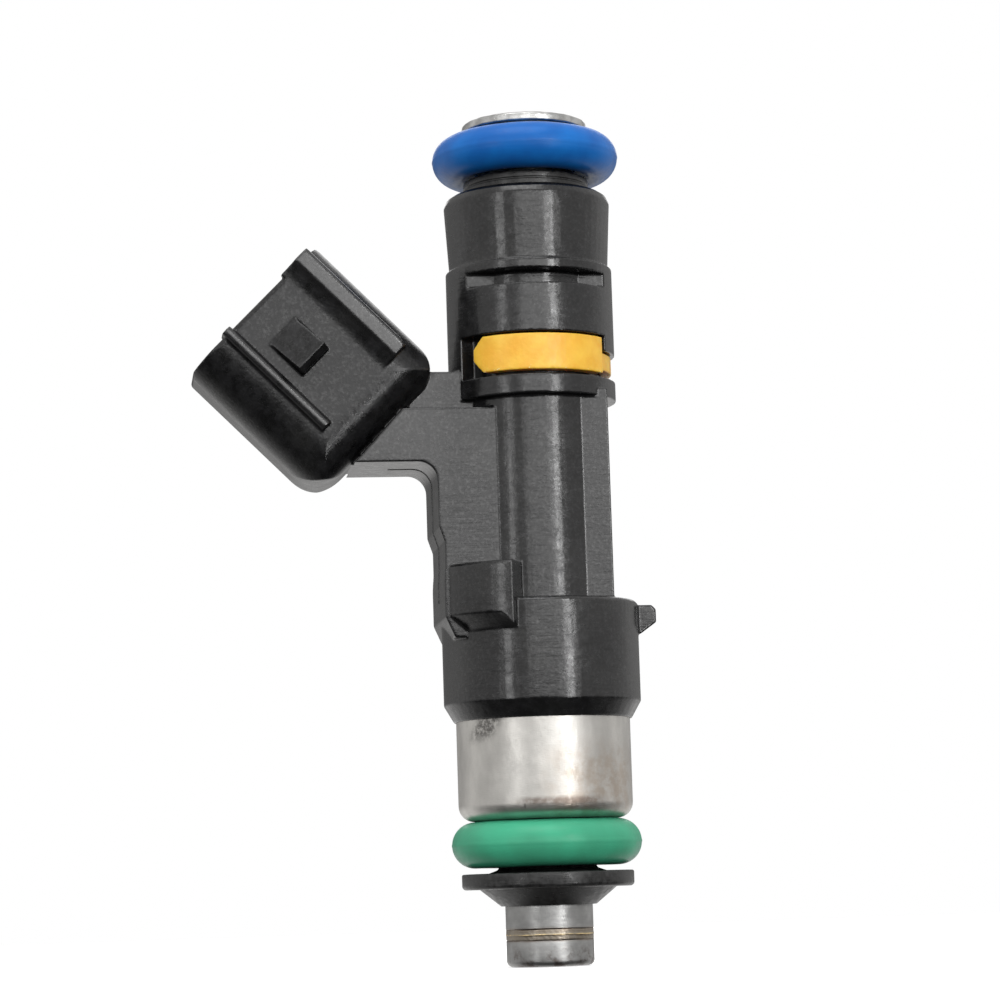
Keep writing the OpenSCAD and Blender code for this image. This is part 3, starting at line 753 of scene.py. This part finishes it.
backup = lathe("backup_ring", rounded([
    (NECK_R, COLLAR_TOP, 0.03),
    (LIP_R, COLLAR_TOP, 0.06),
    (LIP_R, 60.30, 0.04),
    (LIP_R - 0.06, 60.36, 0.03),
    (LIP_R - 0.06, 60.44, 0.03),
    (LIP_R, 60.50, 0.04),
    (LIP_R, BACKUP_TOP, 0.18),
    (NECK_R, BACKUP_TOP, 0.03),
], 6), 224)
even_normals(finish_piece(backup, "ring_plastic", "injector_body", "upper_backup_ring"))

lip_noise = rng.normal(0, 1, 24)


def lip_wobble(a, r, z):
    """A slightly ragged edge on the flared lip only."""
    if r < LIP_R - 0.2 or z < LIP_Z - 0.05:
        return r, z
    rough = sum(
        lip_noise[k] * math.sin((k + 4) * a + lip_noise[(k + 7) % 24] * 3) for k in range(24)
    )
    return r + 0.0025 * rough - 0.01, z + 0.0012 * rough


inlet = lathe("inlet_neck", rounded([
    (TUBE_R, INLET_Z, 0.05),
    (NECK_R, INLET_Z, 0.1),
    (NECK_R, LIP_Z, 0.25),
    (LIP_R, LIP_Z, 0.18),
    (LIP_R, INLET_TOP, 0.22),
    (INLET_BORE, INLET_TOP, 0.28),
    (INLET_BORE, TUBE_TOP, 0.05),
    (TUBE_R, TUBE_TOP, 0.05),
], 7), 256, lip_wobble)
even_normals(finish_piece(inlet, "bright_steel", "injector_body", "inlet_tube"))

# ---------------------------------------------------------------- contacts and inner pieces


def bevelled(node, name, slot, width):
    """A copy of a CAD node with its sharp edges bevelled."""
    o = welded_copy(node, name)
    o.data.transform(Matrix.Scale(MM, 4))
    bevel = o.modifiers.new("bevel", "BEVEL")
    bevel.width = width * MM
    bevel.segments = 3
    bevel.limit_method = "ANGLE"
    bevel.angle_limit = math.radians(30)
    baked(o)
    finish_piece(o, slot, "injector_body", node)
    even_normals(o)


bevelled("terminal_inner", "contact_blade_inner", "contact_metal", 0.06)
bevelled("terminal_outer", "contact_blade_outer", "contact_metal", 0.06)

# ---- coil of enamelled wire: the outer layer shows each turn
COIL_BORE, COIL_R, COIL_LOW, COIL_HIGH, COIL_TURNS = 3.95, 5.5, 13.7, 23.1, 34
turn_h = 9.4 / COIL_TURNS
wire_outline = [(COIL_BORE, COIL_LOW), (COIL_R, COIL_LOW)]
for i in range(COIL_TURNS):
    for t in (0.15, 0.35, 0.5, 0.65, 0.85):
        swell = 0.05 * math.sin(math.pi * t)
        wire_outline.append((COIL_R + swell, COIL_LOW + turn_h * (i + t)))
wire_outline += [(COIL_R, COIL_HIGH), (COIL_BORE, COIL_HIGH)]
winding = lathe("coil_turns", wire_outline, 128)
finish_piece(winding, "copper_wire", "injector_body", "coil_winding")

# ---- return spring, closed at both ends
SPRING_LOW, SPRING_HIGH, SPRING_R, SPRING_WIRE, SPRING_TURNS = 14.52, 30.49, 1.15, 0.17, 10


def spring_height(t):
    """Height of the wire at a share t of its length; the first and last turns lie flat."""
    closed = 2 * SPRING_WIRE + 0.02
    span = SPRING_HIGH - SPRING_LOW - 2 * SPRING_WIRE - 2 * closed
    end = 1 / SPRING_TURNS
    middle = min(max(t - end, 0), 1 - 2 * end) / (1 - 2 * end)
    return (
        SPRING_LOW + SPRING_WIRE + closed * min(t, end) / end
        + span * middle + closed * max(t - (1 - end), 0) / end
    )


SPRING_STEPS = SPRING_TURNS * 40
spring_path = []
for i in range(SPRING_STEPS + 1):
    t = i / SPRING_STEPS
    a = 2 * math.pi * SPRING_TURNS * t
    spring_path.append((SPRING_R * math.cos(a), SPRING_R * math.sin(a), spring_height(t)))
spring = sweep("needle_spring", spring_path, SPRING_WIRE, 10)
finish_piece(spring, "spring_steel", "injector_body", "return_spring")
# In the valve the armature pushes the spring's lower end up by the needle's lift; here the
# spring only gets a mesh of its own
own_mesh(spring)

# ---- inlet filter gauze, woven from fine wires
GAUZE_R, GAUZE_LOW, GAUZE_HIGH, GAUZE_WIRE = 2.32, 54.1, 61.5, 0.045
UPRIGHTS, ROWS = 44, 45


def row_height(k):
    return GAUZE_LOW + (GAUZE_HIGH - GAUZE_LOW) * k / (ROWS - 1)


gauze = []
for i in range(UPRIGHTS):
    a = 2 * math.pi * i / UPRIGHTS
    path = []
    for k in range(ROWS):
        # Each upright passes in front of one row and behind the next
        r = GAUZE_R + 0.035 * math.cos(math.pi * k + math.pi * i)
        path.append((r * math.cos(a), r * math.sin(a), row_height(k)))
    gauze.append(sweep("gauze_wire", path, GAUZE_WIRE, 4))
for k in range(ROWS):
    path = []
    for i in range(UPRIGHTS * 2):
        a = math.pi * i / UPRIGHTS
        path.append((GAUZE_R * math.cos(a), GAUZE_R * math.sin(a), row_height(k)))
    gauze.append(sweep("gauze_wire", path, GAUZE_WIRE, 4, closed=True))
gauze = joined("woven_gauze", gauze)
finish_piece(gauze, "filter_gauze", "injector_body", "inlet_filter_mesh")

# ---------------------------------------------------------------- CAD nodes that stay

KEPT = {
    "yoke_ring": "core_steel",
    "coil_bobbin": "bobbin_plastic",
    "coil_leads": "copper_wire",
    "pole_core": "core_steel",
    "adjusting_sleeve": "spring_steel",
    "armature": "core_steel",
    "needle_tube": "needle_steel",
    "valve_ball": "ball_steel",
    "valve_seat": "needle_steel",
    "orifice_plate": "nozzle_steel",
    "inlet_filter_frame": "filter_brass",
}
for node, slot in KEPT.items():
    o = NODES[node]
    o.data.materials.clear()
    o.data.materials.append(MATERIALS[slot])

# ---------------------------------------------------------------- stage


def stage_floor():
    s = Shader("pale_floor", (0.86, 0.86, 0.85), 0.6)
    s.paint(s.mix(s.range(s.noise(0.02, 2), 0.3, 0.7), (0.85, 0.85, 0.84), (0.88, 0.88, 0.88)))
    s.bump(s.noise(0.5, 3), 0.02)
    s.surface.inputs["Emission Color"].default_value = (1, 1, 1, 1)
    s.surface.inputs["Emission Strength"].default_value = 0.55
    half, z = 260, -0.05
    corners = [(-half, -half, z), (half, -half, z), (half, half, z), (-half, half, z)]
    mesh = mesh_from("pale_floor", corners, [(0, 1, 2, 3)])
    o = to_object("pale_floor", mesh)
    o.data.materials.append(s.material)
    # The floor is seen, but it throws little light up at the part
    o.visible_diffuse = False
    o.visible_glossy = False


stage_floor()

# ---------------------------------------------------------------- world, lights, camera

VIEW_AZ = -8.0
TARGET = Vector((-2.8, 0.0, 35.9)) * MM
CAMERA_RANGE = 245.0
CAMERA_Z = 5.5
ROLL = math.radians(1.8)


def direction(az, el=0.0):
    """The unit vector from the part towards azimuth az and elevation el, in degrees."""
    a, e = math.radians(az), math.radians(el)
    return Vector((math.sin(a) * math.cos(e), -math.cos(a) * math.cos(e), math.sin(e)))


world = bpy.data.worlds.new("studio")
world.use_nodes = True
bpy.context.scene.world = world
w_nodes = world.node_tree.nodes
w_link = world.node_tree.links.new
w_nodes.clear()


def w_range(value, low, high, smooth=True):
    """A Map Range node on the world's coordinates."""
    node = w_nodes.new("ShaderNodeMapRange")
    node.interpolation_type = "SMOOTHSTEP" if smooth else "LINEAR"
    node.inputs["From Min"].default_value = low
    node.inputs["From Max"].default_value = high
    w_link(value, node.inputs["Value"])
    return node


w_out = w_nodes.new("ShaderNodeOutputWorld")
w_mix = w_nodes.new("ShaderNodeMixShader")
w_seen = w_nodes.new("ShaderNodeBackground")
w_light = w_nodes.new("ShaderNodeBackground")
w_path = w_nodes.new("ShaderNodeLightPath")
w_coord = w_nodes.new("ShaderNodeTexCoord")
w_split = w_nodes.new("ShaderNodeSeparateXYZ")
w_link(w_coord.outputs["Generated"], w_split.inputs[0])
w_seen.inputs["Color"].default_value = (1, 1, 1, 1)
w_seen.inputs["Strength"].default_value = 1.0
w_light.inputs["Color"].default_value = (1.0, 0.99, 0.98, 1)
# Below the horizon it is dark in front of the part and pale behind it
w_back = w_range(w_split.outputs[1], -0.1, 0.8)
w_back.inputs["To Min"].default_value = 0.08
w_back.inputs["To Max"].default_value = 0.95
# Above the horizon it is bright but for the part of the sky straight behind
w_sky = w_range(w_split.outputs[1], 0.45, 0.95, smooth=False)
w_sky.inputs["To Min"].default_value = 0.80
w_sky.inputs["To Max"].default_value = 0.22
w_ramp = w_range(w_split.outputs[2], -0.22, 0.06)
w_link(w_back.outputs[0], w_ramp.inputs["To Min"])
w_link(w_sky.outputs[0], w_ramp.inputs["To Max"])
w_link(w_ramp.outputs[0], w_light.inputs["Strength"])
# The camera sees plain white
w_link(w_path.outputs["Is Camera Ray"], w_mix.inputs[0])
w_link(w_light.outputs[0], w_mix.inputs[1])
w_link(w_seen.outputs[0], w_mix.inputs[2])
w_link(w_mix.outputs[0], w_out.inputs[0])


def panel(name, az, el, reach, width, height, radiance):
    """A soft box at that direction and distance in metres, turned to the part's middle."""
    light = bpy.data.lights.new(name, "AREA")
    light.shape = "RECTANGLE"
    light.size = width
    light.size_y = height
    light.energy = radiance * math.pi * width * height
    o = bpy.data.objects.new(name, light)
    COLLECTION.objects.link(o)
    aim = Vector((0, 0, 0.035))
    o.location = aim + direction(az, el) * reach
    o.rotation_euler = (aim - o.location).to_track_quat("-Z", "Y").to_euler()
    o.visible_camera = False


panel("front_box", VIEW_AZ + 9, 13, 0.60, 0.50, 0.24, 2.0)
panel("right_strip", VIEW_AZ + 34, 2, 0.60, 0.045, 0.62, 16.0)
panel("left_strip", VIEW_AZ - 38, 8, 0.60, 0.05, 0.50, 5.5)
panel("top_box", VIEW_AZ - 10, 68, 0.50, 0.36, 0.30, 2.9)
panel("back_box", VIEW_AZ + 180, 30, 0.60, 0.40, 0.30, 1.4)

camera = bpy.data.cameras.new("camera")
camera.sensor_width = 36.0
camera.lens = 114.3
camera.clip_start = 0.005
camera.clip_end = 20
camera_object = bpy.data.objects.new("camera", camera)
COLLECTION.objects.link(camera_object)
spot = direction(VIEW_AZ) * CAMERA_RANGE * MM + Vector((0, 0, CAMERA_Z * MM))
forward = (TARGET - spot).normalized()
right = forward.cross(Vector((0, 0, 1))).normalized()
up = right.cross(forward)
right_rolled = right * math.cos(ROLL) - up * math.sin(ROLL)
up_rolled = right * math.sin(ROLL) + up * math.cos(ROLL)
turn = Matrix((right_rolled, up_rolled, -forward)).transposed().to_4x4()
turn.translation = spot
camera_object.matrix_world = turn
bpy.context.scene.camera = camera_object
bpy.context.scene.view_settings.view_transform = "Standard"
